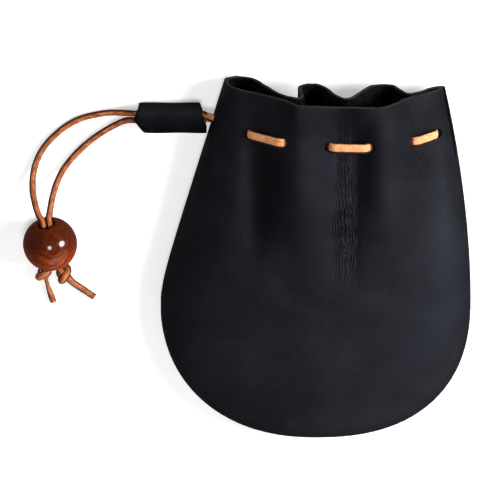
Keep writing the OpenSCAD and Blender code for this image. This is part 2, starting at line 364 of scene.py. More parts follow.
def leather_material():
    """Black leather: soft patches, fine grain, pores, wavy wrinkles with a painted highlight on their crests
    and painted shade in their grooves, and painted shade in the folds.
    """
    m, n, shader = material("black_leather")
    p = n.point()
    patches = n.noise(p, 38, 4, 0.55, 0.4)
    fine = n.noise(p, 420, 4, 0.6)
    grain = n.cells(p, 1500)
    pores = n.span(n.cells(p, 900), 0.0, 0.22, 1.0, 0.0)
    streaks = n.noise(n.scaled(p, (1.0, 0.12, 1.0)), 260, 3, 0.6, 0.3)
    fold_shade = n.value("painted_fold_shade")
    wrinkled = n.times(n.value("wrinkled"), n.span(n.noise(p, 160, 3), 0.35, 0.6, 0.25, 1))
    run = n.math("MULTIPLY_ADD", n.noise(n.scaled(p, (0.5, 0.35, 0.2)), 190, 2), 6.0,
                 n.times(n.value("fold_run"), math.pi))
    lines = []
    for stretch in (0.75, 0.45):
        sway = n.noise(n.scaled(p, (0.6, stretch, 0.3)), 420, 2)
        lines.append(n.math("ABSOLUTE", n.math("SINE", n.math("MULTIPLY_ADD", sway, 9.0, run))))
    groove = n.times(n.span(n.math("MINIMUM", *lines), 0.08, 0.62, 1, 0), wrinkled)
    crest = n.times(n.span(n.times(*lines), 0.5, 0.95), wrinkled)
    base = n.blend(n.span(patches, 0.32, 0.7), (0.0038, 0.0039, 0.0048), (0.0090, 0.0095, 0.0128))
    base = n.blend(n.span(fine, 0.5, 0.8, 0, 0.5), base, (0.0098, 0.0101, 0.0128))
    # Painted highlight along the wrinkle crests and painted shade in the wrinkle grooves
    base = n.blend(n.times(crest, 0.55), base, (0.030, 0.031, 0.037))
    base = n.blend(groove, base, (0.0005, 0.0005, 0.0008))
    base = n.blend(n.times(pores, 0.5), base, (0.0015, 0.0015, 0.002))
    # Painted shade: the folds, the leather under the stitches and the middle of the rim go near black
    base = n.blend(n.times(fold_shade, 0.92), base, (0.0006, 0.0006, 0.0009))
    rough = n.math("ADD", n.span(patches, 0.3, 0.75, 0.60, 0.47), n.span(fine, 0.3, 0.7, -0.04, 0.05))
    normal = n.bump(n.math("SUBTRACT", grain, n.times(pores, 0.5)), 0.22, 0.00018)
    normal = n.bump(fine, 0.13, 0.0004, normal)
    normal = n.bump(streaks, 0.10, 0.0005, normal)
    normal = n.bump(n.math("SUBTRACT", crest, groove), 1.0, 0.0006, normal)
    rough = n.math("MULTIPLY_ADD", fold_shade, 0.35, rough)
    n.paint(shader, base, rough, normal, shine=0.17, tint=(0.74, 0.79, 1.0))
    return m


def edge_material():
    """The cut edge of the leather: paler grey fibres under black dye."""
    m, n, shader = material("leather_edge")
    p = n.point()
    fibres = n.noise(p, 1500, 5, 0.7)
    patches = n.noise(p, 160, 3)
    base = n.blend(n.span(fibres, 0.35, 0.7), (0.008, 0.008, 0.009), (0.036, 0.0355, 0.038))
    base = n.blend(n.span(patches, 0.35, 0.7, 0, 0.7), base, (0.008, 0.008, 0.009))
    n.paint(shader, base, n.span(fibres, 0.2, 0.8, 0.8, 0.95), n.bump(fibres, 0.6, 0.0004), shine=0.2)
    return m


def flesh_material():
    """The rough inner side of the leather: short dark nap with pale fibres."""
    m, n, shader = material("leather_flesh")
    p = n.point()
    nap = n.noise(n.scaled(p, (1.0, 0.55, 1.0)), 900, 6, 0.75, 0.6)
    patches = n.noise(p, 120, 4, 0.6)
    base = n.blend(n.span(nap, 0.4, 0.72), (0.0010, 0.0010, 0.0013), (0.012, 0.012, 0.013))
    base = n.blend(n.span(patches, 0.4, 0.65, 0, 0.8), base, (0.0007, 0.0007, 0.0009))
    n.paint(shader, base, n.span(nap, 0.2, 0.8, 0.85, 1.0), n.bump(nap, 0.7, 0.0005), shine=0.06)
    return m


def lace_material():
    """Round cut leather lace: mottled tan, with painted shade along both sides and where it dips into a hole,
    pale where it is rubbed and where a painted highlight lies.
    """
    m, n, shader = material("tan_lace")
    flow = n.value("flow", vector=True)
    # Pale mask: rubbing on the stitches, and a painted highlight where the lace leaves the bag and runs to
    # the slider
    rub_and_highlight = n.value("rub_and_highlight")
    long_fibres = n.noise(n.scaled(flow, (0.18, 1.6, 1.6)), 3.2, 4, 0.6)
    blotches = n.noise(n.scaled(flow, (0.35, 1.0, 1.0)), 1.3, 4, 0.6, 0.5)
    side = n.math("ABSOLUTE", n.math("ADD", n.axes(flow)[1], n.math("MULTIPLY_ADD", rub_and_highlight, 0.08, 0.13)))
    patchy = n.span(blotches, 0.34, 0.68)
    plain = n.blend(patchy, (0.23, 0.050, 0.012), (0.56, 0.195, 0.066))
    pale = n.blend(patchy, (0.66, 0.27, 0.105), (0.86, 0.43, 0.19))
    base = n.blend(rub_and_highlight, plain, pale)
    dark = n.blend(rub_and_highlight, (0.07, 0.011, 0.002), (0.035, 0.005, 0.002))
    base = n.blend(n.span(long_fibres, 0.5, 0.76, 0, 0.6), base, dark)
    # Painted shade along both sides of the lace, and where it dips into a hole
    base = n.blend(n.math("MAXIMUM", n.span(side, 0.58, 0.76), n.value("dips")), base, dark)
    normal = n.bump(long_fibres, 0.35, 0.00035)
    normal = n.bump(n.noise(n.point(), 1300, 3), 0.25, 0.0002, normal)
    n.paint(shader, base, n.span(blotches, 0.3, 0.7, 0.62, 0.48), normal, shine=0.22)
    return m


def lace_end_material():
    """The cut end of a lace: pale fibres."""
    m, n, shader = material("lace_end")
    fibres = n.noise(n.point(), 2200, 4, 0.7)
    base = n.blend(n.span(fibres, 0.3, 0.7), (0.30, 0.13, 0.06), (0.62, 0.36, 0.20))
    n.paint(shader, base, n.span(fibres, 0.2, 0.8, 0.7, 0.9), n.bump(fibres, 0.5, 0.0003))
    return m


def slider_material():
    """Thinner, drier black leather for the slider, with a painted highlight greying its side towards the rim.
    """
    m, n, shader = material("slider_leather")
    p = n.point()
    patches = n.noise(p, 130, 4, 0.6, 0.3)
    grain = n.noise(p, 1300, 4, 0.65)
    # Painted highlight: the side towards the rim is lighter, as if lit from there
    lit_side = n.span(n.axes(p)[1], SLIDER_Y * MM, (SLIDER_Y + 3.4) * MM, 0, 0.8)
    base = n.blend(n.span(patches, 0.35, 0.7), (0.0006, 0.0006, 0.0008), (0.0017, 0.0018, 0.0023))
    base = n.blend(n.times(lit_side, n.span(grain, 0.3, 0.6, 0.6, 1)), base, (0.0085, 0.0088, 0.0108))
    n.paint(shader, base, n.span(patches, 0.3, 0.7, 0.68, 0.54), n.bump(grain, 0.35, 0.0003),
            shine=0.08, tint=(0.78, 0.82, 1.0))
    return m


def bead_material():
    """Lacquered red-brown wood with curved grain, painted shade at the top and amber where the grain opens.
    """
    m, n, shader = material("bead_wood")
    p = n.value("turned", vector=True)
    bend = n.noise(p, 0.16, 2, 0.5)
    lift = n.add("ShaderNodeCombineXYZ")
    n.fill(lift, {"X": n.times(bend, 4.0), "Z": n.times(bend, 9.0)})
    shift = n.add("ShaderNodeVectorMath", operation="ADD")
    n.put(shift.inputs[0], p)
    n.put(shift.inputs[1], lift.outputs[0])
    rings = n.wave(shift.outputs[0], 0.22, 2.2, 3.0, 0.8, wave_type="RINGS", rings_direction="X")
    fibres = n.noise(n.scaled(p, (2.4, 2.4, 0.35)), 1.4, 5, 0.65)
    # Painted shade darkening the bead's upper end
    top_shade = n.span(n.math("ADD", n.axes(p)[2], n.times(bend, 6.0)), -3.0, 7.5)
    mottled = n.noise(p, 0.55, 5, 0.7, 0.4)
    base = n.blend(rings, (0.19, 0.013, 0.001), (0.44, 0.080, 0.003))
    base = n.blend(n.span(mottled, 0.4, 0.66, 0, 0.7), base, (0.20, 0.016, 0.002))
    base = n.blend(n.span(fibres, 0.42, 0.7, 0, 0.45), base, (0.05, 0.006, 0.002))
    base = n.blend(n.times(top_shade, 0.86), base, (0.045, 0.008, 0.002))
    n.paint(shader, base, n.span(fibres, 0.3, 0.7, 0.24, 0.36), n.bump(fibres, 0.12, 0.0003),
            shine=0.05, coat=0.65, coat_rough=0.04)
    return m


def thread_material():
    """Twisted black sewing thread."""
    m, n, shader = material("black_thread")
    twist = n.wave(n.value("flow", vector=True), 1.6, wave_type="BANDS", bands_direction="DIAGONAL")
    base = n.blend(twist, (0.012, 0.012, 0.013), (0.05, 0.05, 0.052))
    n.paint(shader, base, n.span(twist, 0, 1, 0.7, 0.5), n.bump(twist, 0.6, 0.0003))
    return m


LEATHER = leather_material()
EDGE = edge_material()
FLESH = flesh_material()
LACE_LOOKS = [lace_material(), lace_end_material()]
SLIDER_LEATHER = slider_material()
BEAD_WOOD = bead_material()
THREAD = thread_material()

# ---- free cords
OUTER_ROUTE = [[-60.2, 50.55, 4.2], [-64, 50.6, 3.6], [-68.5, 50.3, 2.6], [-73, 49.3, 1.8],
               [-77.5, 47.9, 1.4], [-82, 45.5, 1.2], [-86, 42.3, 1.2], [-89.6, 38.3, 1.2],
               [-92.2, 33.7, 1.3], [-93.6, 28.9, 2.2], [-93.9, 24.7, 4.4], [-93.2, 20.9, 7.6],
               [-91.8, 17.1, 10.4]]
INNER_ROUTE = [[-60.2, 48.25, 4.2], [-62.6, 48.1, 4], [-65.6, 46.7, 3.4], [-69.4, 44.2, 2.4],
               [-73.2, 41.3, 1.7], [-77, 37.9, 1.3], [-80.6, 34.1, 1.3], [-83.8, 29.9, 2],
               [-86, 25.9, 4.4], [-87.4, 21.7, 8], [-88.1, 17.9, 10.6]]
OUTER_KNOT, INNER_KNOT = np.array([-90.4, -5.9, 3.0]), np.array([-83.8, -6.3, 3.0])
OUTER_TAIL = [[-89.6, -9.7, 1.6], [-88.6, -13.1, 1.2], [-87.4, -16.9, 1.2]]
INNER_TAIL = [[-80.8, -9.9, 1.6], [-77.4, -12.5, 1.2], [-73.8, -15.1, 1.2]]

turn, tilt = math.radians(BEAD_TURN), math.radians(BEAD_TILT)
BEAD_AXIS = np.array([-math.sin(turn) * math.cos(tilt), math.cos(turn) * math.cos(tilt), math.sin(tilt)])
BEAD_SIDE = np.array([-math.cos(turn), -math.sin(turn), 0.0])


def through_bead(side):
    """Four places in a strand's lane through the bead, from its upper mouth to its lower one."""
    return [(BEAD_C + k * BEAD_AXIS + side * LANE * BEAD_SIDE).tolist() for k in (9.6, 3.2, -3.2, -9.4)]


def overhand(n=84, rounds=700):
    """Centreline of an overhand knot in lace diameters: a loose one is drawn tight by its ends.

    Each round pulls the ends, evens the spacing, smooths the line and pushes crossing parts apart.
    """
    t = np.linspace(-2.12, 2.12, n)
    p = np.stack([1.1 * (t**3 - 3 * t), t**4 - 4 * t**2, -(t**5 - 10 * t) / 9], axis=1)
    p = resample(p, length_of(p) / (n - 1))
    rest, pull, neighbours = 0.25, 0.05, 4
    n = len(p)
    p *= rest * (n - 1) / length_of(p)
    index = np.arange(n)
    apart = np.abs(index[:, None] - index[None, :]) > neighbours
    for _ in range(rounds):
        p[0, 0] -= pull
        p[-1, 0] += pull
        p[[0, 1, -2, -1], 1:] *= 0.92
        for _ in range(4):
            for first in (0, 1):
                m = (n - first) // 2
                a, b = p[first:first + 2 * m:2], p[first + 1:first + 2 * m:2]
                d = b - a
                length = np.linalg.norm(d, axis=1)[:, None]
                step = 0.5 * (length - rest) / length * d
                a += step
                b -= step
        p[1:-1] += 0.12 * (p[:-2] + p[2:] - 2 * p[1:-1])
        d = p[:, None] - p[None, :]
        gap = np.linalg.norm(d, axis=2) + 1e-9
        push = np.where(apart & (gap < 1), (1 - gap) * 0.25, 0)
        p += (push[:, :, None] * d / gap[:, :, None]).sum(axis=1)
    return p


KNOT_LINE = overhand()


def knot_path(centre, along, side, squash):
    """The tight knot's centreline in mm, placed with its travel direction along."""
    along, side = unit(np.array(along, float)), np.array(side, float)
    side = unit(side - along * (side @ along))
    top = np.cross(along, side)
    p = KNOT_LINE[np.abs(KNOT_LINE[:, 0]) < 1.5] * LACE_D
    p = (p - [0, p[:, 1].mean(), p[:, 2].mean()]) * squash
    return centre + p[:, :1] * along + p[:, 1:2] * side + p[:, 2:] * top


def upright(path):
    """Directions across a path that stay as near to +Z as they can."""
    along = unit(np.gradient(path, axis=0))
    up = np.array([0.0, 0, 1]) - along * along[:, 2:]
    for k in range(1, len(up)):
        share = smooth(np.linalg.norm(up[k]) / 0.7)
        kept = unit(up[k - 1] - along[k] * (up[k - 1] @ along[k]))
        up[k] = unit(mix(kept, unit(up[k]), share))
    up[0] = up[1]
    return up


def strand_pieces(tag, route, side, knot_c, tail, along, knot_side, squash, tail_w):
    """One free end of the lace: the strand as far as its knot, and the knot with the cut end.

    side is the strand's lane in the bead, along and knot_side place the knot, and tail_w narrows
    the lace just past it.
    """
    knot = knot_path(knot_c, along, knot_side, np.array(squash))
    knot[:, 2] = np.maximum(knot[:, 2], LACE_D / 2)
    whole = spline(route + through_bead(side) + [knot[0].tolist()], 0.35)
    strand = sweep(f"strand_{tag}_lace", whole, LACE_D / 2, LACE_D / 2 * 0.92, (0, 0, 1), LACE_LOOKS,
                   ends=(False, False), wobble=0.035, seed=5)
    path = resample(np.vstack([whole[-3:-1], spline(np.vstack([knot[::4], tail]).tolist(), 0.25)]), 0.25)
    run = np.linspace(0, 1, len(path))
    past_knot = run - length_of(knot) / length_of(path)
    width = LACE_D / 2 * mix(1.3, 1.05, smooth(past_knot / 0.1))
    width = width * mix(1, tail_w, hump((past_knot - 0.1) / 0.12))
    tied = sweep(f"knot_{tag}_lace", path, width, width * mix(0.98, 0.8, smooth((run - 0.7) / 0.3)),
                 upright(path), LACE_LOOKS, ends=(False, True), wobble=0.03, seed=9)
    return strand, whole, tied


outer_strand, outer_path, outer_tied = strand_pieces(
    "outer", OUTER_ROUTE, 1, OUTER_KNOT, OUTER_TAIL, (0.1, -1, -0.1), (-0.2, 0, 1), (0.5, 0.7, 1.0), 0.55)
inner_strand, inner_path, inner_tied = strand_pieces(
    "inner", INNER_ROUTE, -1, INNER_KNOT, INNER_TAIL, (0.35, -1, -0.1), (0.4, 0, 1), (0.62, 0.75, 0.95), 1.0)

# ---- shape of the bag
# Across the gathered neck: share of the way to the side seam, height and any sideways shift in mm.
# The front's heights are over the seam and the back's over the floor.
FRONT_NECK = [(-1, 0), (-0.965, 4.6, -0.9), (-0.93, 7.5, -0.9), (-0.84, 11, -0.3), (-0.76, 12.8),
              (-0.68, 13.9), (-0.6, 15.8), (-0.5, 19), (-0.4, 22), (-0.3, 24.4), (-0.2, 25),
              (-0.08, 24.5), (0.04, 23.6), (0.13, 22.8), (0.19, 22.4), (0.27, 23.1), (0.35, 24.2),
              (0.42, 24.7), (0.49, 24.2), (0.56, 22.2), (0.63, 18.6), (0.7, 14.6), (0.77, 11),
              (0.84, 8), (0.92, 5), (1, 0)]
FRONT_RIM = [(-1, 0), (-0.93, 7.6), (-0.85, 11.5), (-0.71, 14.3), (-0.53, 18.3), (-0.42, 21.2),
             (-0.345, 25), (-0.28, 26.2), (-0.1, 26.3), (0.115, 25.8), (0.3, 25.4), (0.4, 24.8),
             (0.48, 22.8), (0.559, 19.2), (0.663, 13.6), (0.78, 9.4), (0.898, 6), (1, 0)]
BACK_NECK = [(-1, 5.5), (-0.94, 4.0), (-0.86, 3.2), (-0.76, 3.6), (-0.67, 6.0), (-0.57, 12),
             (-0.48, 17.6), (-0.4, 21.2, 0.2), (-0.335, 22.8, 1.4), (-0.29, 20, 0.7),
             (-0.275, 14.6, -0.6), (-0.26, 10.4, -1.0), (-0.2, 8, -0.4), (-0.12, 8.2), (-0.04, 11.8),
             (0.03, 18), (0.1, 21.4), (0.15, 20.8), (0.22, 15.4), (0.31, 8.6), (0.4, 6), (0.48, 5.6),
             (0.54, 6.6), (0.6, 11), (0.65, 13.9), (0.72, 12.8), (0.8, 9.8), (0.88, 7.2), (0.95, 5.6),
             (1, 5.5)]
FRONT_HOLES = [-22.6, -10.4, 4.0, 17.6, 31.6, 40.4]
BACK_HOLES = [36.4, 27.6, 15.6, 3.2, -3.8, -17.2]
FRONT_END_HOLE, BACK_END_HOLE = np.array([-34.2, 50.0, 7.4]), np.array([-33.4, 48.6, 3.2])
COLS, LOW_ROWS, HIGH_ROWS = 250, 64, 150
# How thin and how far down the rim is skived, and how deep the groove over the seam is, in mm or shares
SKIVED_T, SKIVED_L, SEAM_GROOVE = 0.62, 3.5, 0.35

# Long folds down the front: height in mm, middle and width in x, and the y span with its soft ends
FRONT_FOLDS = [(-1.1, 11.4, 3.4, -8, 60, 16), (0.8, -1.0, 6.5, -14, 40, 22),
               (0.3, 22.5, 3.6, 10, 60, 20), (-1.2, -20.0, 3.8, -2, 60, 24)]
# Painted shade in the folds: the same, with a strength in place of the height
SHADED_FOLDS = [(1, 16.6, 4.6, 8, 74, 24), (0.8, -14.0, 6.0, 6, 57, 18),
               (0.45, 25.0, 4.0, 26, 74, 14), (0.5, 38.5, 4.0, 40, 74, 12)]
# The valley's larger wrinkles: x, sway, pitch, phase and width, and the strengths high up and low down
GROOVES = [(9.1, 0.35, 8.3, 0.4, 0.5, 1, 1), (11.3, 0.4, 9.9, 2.2, 0.5, 1, 1),
           (13.3, 0.5, 7.7, 4.0, 0.5, 0, 1), (7.0, 0.5, 9.7, 5.2, 0.5, 0, 0.8)]
RIDGES = [(10.2, 0.35, 8.9, 1.2, 0.5, 1, 1), (12.3, 0.4, 8.1, 3.1, 0.5, 0, 0.8)]


def up_share(y):
    return np.maximum(0, (y - WIDE_Y) / (RIM_Y - WIDE_Y))


def left_x(y):
    soft = 0.09
    t = up_share(y)
    return -BAG_W / 2 + LEFT_TAPER * (np.sqrt(t * t + soft**2) - soft) / (math.sqrt(1 + soft**2) - soft)


def right_x(y):
    return BAG_W / 2 - RIGHT_TAPER * up_share(y) ** 1.8


def mid_x(y):
    return (left_x(y) + right_x(y)) / 2


def half_w(y):
    return (right_x(y) - left_x(y)) / 2


def rim_at(u):
    return RIM_Y - RIM_SKEW / 2 * u


def gather(y):
    return smooth((y - RIM_Y + FOLD_L) / (FOLD_L - HOLE_DROP))


def neck_share(x, y):
    u = (x - mid_x(y)) / half_w(y)
    return mix((x - NECK_MID) / NECK_HALF_W, u, u * u)


def across(s, y):
    """How far across the bag, from -1 to 1, the share s of the neck lies."""
    a, b = (mid_x(y) - NECK_MID) / NECK_HALF_W, half_w(y) / NECK_HALF_W
    u = np.array(s, float)
    for _ in range(14):
        miss = (a + b * u) * (1 - u * u) + u**3 - s
        slope = b - 2 * a * u + 3 * (1 - b) * u * u
        u = np.clip(u - miss / slope, -1, 1)
    return u


def neck_line(points, rounding):
    """A neck profile as dense s, shift and height, softened along its length."""
    p = np.array([(s * NECK_HALF_W, *(shift or [0]), z) for s, z, *shift in points], float)
    line = resample(spline(p.tolist(), 0.1), 0.1)
    reach = int(rounding * 30)
    kernel = np.exp(-((np.arange(-reach, reach + 1) * 0.1 / rounding) ** 2))
    kernel /= kernel.sum()
    padded = np.vstack([np.repeat(line[:1], reach, 0), line, np.repeat(line[-1:], reach, 0)])
    soft = np.stack([np.convolve(padded[:, k], kernel, mode="valid") for k in range(3)], axis=1)
    ends = hump((line[:, :1] - line[0, 0]) / 1.2) + hump((line[:, :1] - line[-1, 0]) / 1.2)
    soft = mix(soft, line, ends)
    soft[:, 0] /= NECK_HALF_W
    soft[:, 0] = np.maximum.accumulate(soft[:, 0] + np.arange(len(soft)) * 1e-7)
    return soft


NECKS = {True: neck_line(FRONT_NECK, 0.9), False: neck_line(BACK_NECK, 0.75)}
RIM_LINE = neck_line(FRONT_RIM, 0.9)


def waves(x, y):
    """Slow unevenness of soft leather, about one unit high."""
    slow = np.sin(x * 0.163 + 1.1 * np.sin(y * 0.071) + 0.7)
    slow = slow * np.cos(y * 0.119 - 0.6 + 0.8 * np.sin(x * 0.083))
    return (slow + 0.5 * np.sin(x * 0.31 + y * 0.17 + 1.9) * np.cos(y * 0.27 - x * 0.09)) / 1.4


def window(y, low, high, soft):
    """One between low and high, fading to zero over soft mm inside each."""
    return smooth((y - low) / soft) * (1 - smooth((y - high + soft) / soft))


def long_fold(x, y, height, middle, width, low, high, soft):
    return height * hump((x - middle) / width) * window(y, low, high, soft)


def wavy_line(x, y, middle, sway, pitch, phase, width):
    """A narrow line down the bag that sways from side to side."""
    return hump((x - middle - sway * np.sin(y * 2 * math.pi / pitch + phase)) / width)


def wavy_lines(x, y, lines):
    """Several wavy lines together, each going from its high to its low strength at y from 48 to 34."""
    lower = smooth((48 - y) / 14)
    return sum(mix(high, low, lower) * wavy_line(x, y, *line) for *line, high, low in lines)


def wrinkled(x, y):
    """How finely creased the leather is: in the valley below the middle stitch, a little at the right."""
    fan = 1.7 + 1.2 * smooth((50 - y) / 45)
    right = long_fold(x, y, 0.4, 35.2, 2.6, 30, 47, 8)
    return np.maximum(long_fold(x, y, 1, VALLEY_X, fan, -8, 72, 26), right)


def fold_run(x, y):
    """How many wrinkles to the right of the middle of the valley, where they fan out downwards."""
    return (x - VALLEY_X) / mix(0.8, 1.15, smooth((50 - y) / 45))


def wrinkles(x, y):
    """Ridges less grooves of the larger wrinkles in the valley below the middle stitch."""
    relief = 0.9 * wavy_lines(x, y, RIDGES) - wavy_lines(x, y, GROOVES)
    return window(y, -8, 66, 18) * relief * (0.75 + 0.25 * np.sin(y * 0.43 - x * 0.9 + 2))


def painted_fold_shade(x, y):
    """Painted shade: in the folds, under the stitches and at the middle of the rim."""
    d = hump((x - 12.5) / 8.5) * smooth((y - 44) / 14)
    for fold in SHADED_FOLDS:
        d = np.maximum(d, long_fold(x, y, *fold))
    return np.maximum(d, 0.4 * smooth((y - 46) / 10) * smooth((x - 16) / 6))


def front_detail(x, y):
    """What the folds add to the front's plain shape, in mm upwards."""
    edge = 1 - smooth((spread(x, y) - 0.72) / 0.28)
    d = 0.3 * waves(x, y) * edge
    for fold in FRONT_FOLDS:
        d = d + long_fold(x, y, *fold)
    d = d + 0.3 * wrinkles(x, y) * edge
    crease_x = 28.5 + (61 - y) * 0.5
    return d - 0.35 * hump((x - crease_x) / 0.9) * smooth((y - 50) / 5)


def spread(x, y):
    """How far out from the middle of the bag a place lies: 1 at the seam."""
    low = np.maximum(0, (WIDE_Y - y) / ROUND_L)
    u = (x - mid_x(y)) / half_w(y)
    p = np.where(u < 0, LEFT_P, RIGHT_P)
    return np.minimum(1, (np.abs(u) ** p + low**p) ** (1 / p))


def place(front, s, y):
    """Points on the outer face of a panel, at the share s of the neck and at y."""
    s, y = np.broadcast_arrays(np.asarray(s, float), np.asarray(y, float))
    u = across(s, y)
    x = mid_x(y) + half_w(y) * u
    neck = NECKS[front]
    folded = np.interp(s, neck[:, 0], neck[:, 2])
    shift = np.interp(s, neck[:, 0], neck[:, 1])
    far = spread(x, y)
    if front:
        folded = mix(folded, np.interp(s, RIM_LINE[:, 0], RIM_LINE[:, 2]), smooth((y - 50) / 11))
        rise = mix(BELLY_RISE, NECK_RISE, smooth((y + 40) / 85))
        z = SEAM_H + mix(rise * np.sqrt(np.maximum(0, 1 - far**2)), folded, gather(y)) + front_detail(x, y)
    else:
        edge = np.maximum(0, (far - BACK_FLAT) / (1 - BACK_FLAT))
        z = mix(SEAM_H * (1 - np.sqrt(np.maximum(0, 1 - edge**2))), folded, gather(y))
        z = np.maximum(z + 0.25 * waves(x + 20, y) * gather(y) * (1 - edge), 0)
    return np.stack([x + shift * gather(y) ** 2, y, z], axis=-1)


def normal_at(front, s, y, reach=0.1):
    """Unit normal out of the bag, over reach mm on both sides along the bag."""
    e = 0.004
    across_d = place(front, s + e, y) - place(front, s - e, y)
    along_d = place(front, s, y + reach) - place(front, s, y - reach)
    n = unit(np.cross(across_d, along_d))
    return n if front else -n


def panel_grid(front):
    """Outer points of a panel, rows from the seam to the rim, and the columns' shares."""
    neck = NECKS[front]
    bend = np.stack([neck[:, 0] * NECK_HALF_W * 0.8 + neck[:, 1], neck[:, 2],
                     34 * np.sqrt(np.maximum(0, 1 - neck[:, 0] ** 2)), np.zeros(len(neck))], axis=1)
    run = run_along(bend)
    s = np.interp(np.linspace(0, run[-1], COLS + 1), run, neck[:, 0])
    s[0], s[-1] = -1, 1
    rows = []
    u = across(s, np.full_like(s, WIDE_Y))
    p = np.where(u < 0, LEFT_P, RIGHT_P)
    depth = np.maximum(END_SHARE, np.maximum(0, 1 - np.abs(u) ** p) ** (1 / p))
    for j in range(LOW_ROWS):
        rows.append(WIDE_Y - ROUND_L * depth * math.cos(math.pi / 2 * j / LOW_ROWS))
    for j in range(HIGH_ROWS + 1):
        y = np.full_like(s, WIDE_Y)
        for _ in range(3):
            y = WIDE_Y + (rim_at(across(s, y)) - WIDE_Y) * j / HIGH_ROWS
        rows.append(y)
    y = np.array(rows)
    grid = place(front, np.broadcast_to(s, y.shape), y)
    for edge in (grid[0], grid[:, 0], grid[:, -1]):
        edge[:, 2] = SEAM_H
    return grid, s


def panel(name, front):
    """A leather panel with its real thickness, a cut rim and its rough inner side."""
    grid, s = panel_grid(front)
    x, y = grid[:, :, 0], grid[:, :, 1]
    d_row, d_col = np.gradient(grid, axis=0), np.gradient(grid, axis=1)
    n = unit(np.cross(d_col, d_row)) * (1 if front else -1)
    middle = np.stack([mid_x(y), np.maximum(y, WIDE_Y), np.full_like(y, SEAM_H)], axis=-1)
    seam_edges = ((0, slice(None)), (slice(None), 0), (slice(None), -1))
    for k in seam_edges:
        n[k] = unit((grid[k] - middle[k]) * [1, 1, 0])
    skived = mix(1.0, SKIVED_T, smooth((y - rim_at((x - mid_x(y)) / half_w(y)) + SKIVED_L) / SKIVED_L))
    inner = grid - LEATHER_T * n * skived[:, :, None]
    for _ in range(3):
        inner[1:-1, 1:-1] = 0.6 * inner[1:-1, 1:-1] + 0.1 * (
            inner[:-2, 1:-1] + inner[2:, 1:-1] + inner[1:-1, :-2] + inner[1:-1, 2:])
    for k in seam_edges:
        grid[k] -= SEAM_GROOVE * n[k]
    along = unit(grid[-1] - grid[-3])
    chip = 0.12 * waves(x[-1] * 5, x[-1] * 3)[:, None]
    outer_rim, inner_rim = grid[-1].copy(), inner[-1].copy()
    grid[-1] -= along * 0.3
    inner[-1] -= along * 0.3
    thick = inner_rim - outer_rim
    rim = np.array([outer_rim + thick * share + along * (chip - lower)
                    for share, lower in ((0.13, 0.02), (0.5, 0), (0.87, 0.02))])
    rows = np.concatenate([grid, rim, inner[::-1]])
    count, wide = rows.shape[:2]
    index = np.arange(count * wide).reshape(count, wide)
    last = len(grid) - 1
    quads = np.stack([index[:-1, :-1], index[:-1, 1:], index[1:, 1:], index[1:, :-1]], axis=-1)
    slot = np.zeros((count - 1, wide - 1), int)
    slot[last:last + 4] = 1
    slot[last + 4:] = 2
    faces, slots = quads.reshape(-1, 4).tolist(), slot.ravel().tolist()
    for i, order in ((0, -1), (wide - 1, 1)):
        for j in range(last):
            corners = ((j, i), (j + 1, i), (count - 2 - j, i), (count - 1 - j, i))
            faces.append([index[k] for k in corners][::order])
            slots.append(2)
        faces.append([index[k, i] for k in range(last, last + 5)][::order])
        slots.append(1)
    for i in range(wide - 1):
        faces.append([index[0, i + 1], index[0, i], index[count - 1, i], index[count - 1, i + 1]])
        slots.append(2)
    if not front:
        faces = [f[::-1] for f in faces]
    obj = new_object(name, rows.reshape(-1, 3), faces, [LEATHER, EDGE, FLESH], slots)
    for measure in (wrinkled, painted_fold_shade, fold_run):
        values = np.zeros(rows.shape[:2])
        if front:
            values[:len(grid)] = measure(x, y)
        set_values(obj, measure.__name__, values.ravel())
    return obj


def across_hole_row(x):
    """The y of the row of holes at x."""
    y = RIM_Y - HOLE_DROP
    return rim_at((x - mid_x(y)) / half_w(y)) - HOLE_DROP


def spot(front, x, rise, reach=0.1):
    """The place at x in the row of holes, rise mm out from the middle of the leather, and the normal."""
    y = across_hole_row(x)
    s = neck_share(x, y)
    for _ in range(6):
        s = s - (place(front, s, y)[0] - x) / NECK_HALF_W * 0.8
    n = normal_at(front, s, y, reach)
    bed = place(front, s, y)
    sides = (place(front, s, y + reach) + place(front, s, y - reach)) / 2
    clear = np.sign(rise) * max(0, np.sign(rise) * ((sides - bed) @ n))
    return bed + (rise + clear - LEATHER_T / 2) * n, n


def cutter(places):
    """Round punches of the hole's size, each at a place and along a direction."""
    bm = bmesh.new()
    for at, n in places:
        turn_to = Vector(n).to_track_quat("Z", "Y").to_matrix().to_4x4()
        bmesh.ops.create_cone(bm, cap_ends=True, segments=28, radius1=HOLE_D / 2 * MM,
                              radius2=HOLE_D / 2 * MM, depth=3.2 * LEATHER_T * MM,
                              matrix=Matrix.Translation(Vector(at) * MM) @ turn_to)
    obj = add_mesh("punch", bm)
    obj.data.materials.append(EDGE)
    return obj


def punch(obj, places):
    """Cuts the holes into the panel's own mesh; their walls get the cut edge's material."""
    tool = cutter(places)
    change = obj.modifiers.new("holes", "BOOLEAN")
    change.operation, change.solver, change.object = "DIFFERENCE", "EXACT", tool
    change.material_mode = "TRANSFER"
    result = bpy.data.meshes.new_from_object(obj.evaluated_get(bpy.context.evaluated_depsgraph_get()))
    obj.modifiers.clear()
    obj.data = result
    bpy.data.objects.remove(tool)


front_panel = panel("front_leather", True)
back_panel = panel("back_leather", False)
punch(front_panel, [spot(True, x, 0) for x in FRONT_HOLES] + [(FRONT_END_HOLE, (1, 0, 0))])
punch(back_panel, [spot(False, x, 0) for x in BACK_HOLES] + [(BACK_END_HOLE, (1, 0, 0))])


# ---- the lace round the neck
# How far a stitch's middle lies from the leather's middle, and how far along the bag on both sides
# of it the leather may bulge without touching it
LIFT, CLEAR = LEATHER_T / 2 + 0.95, LACE_D * 0.8


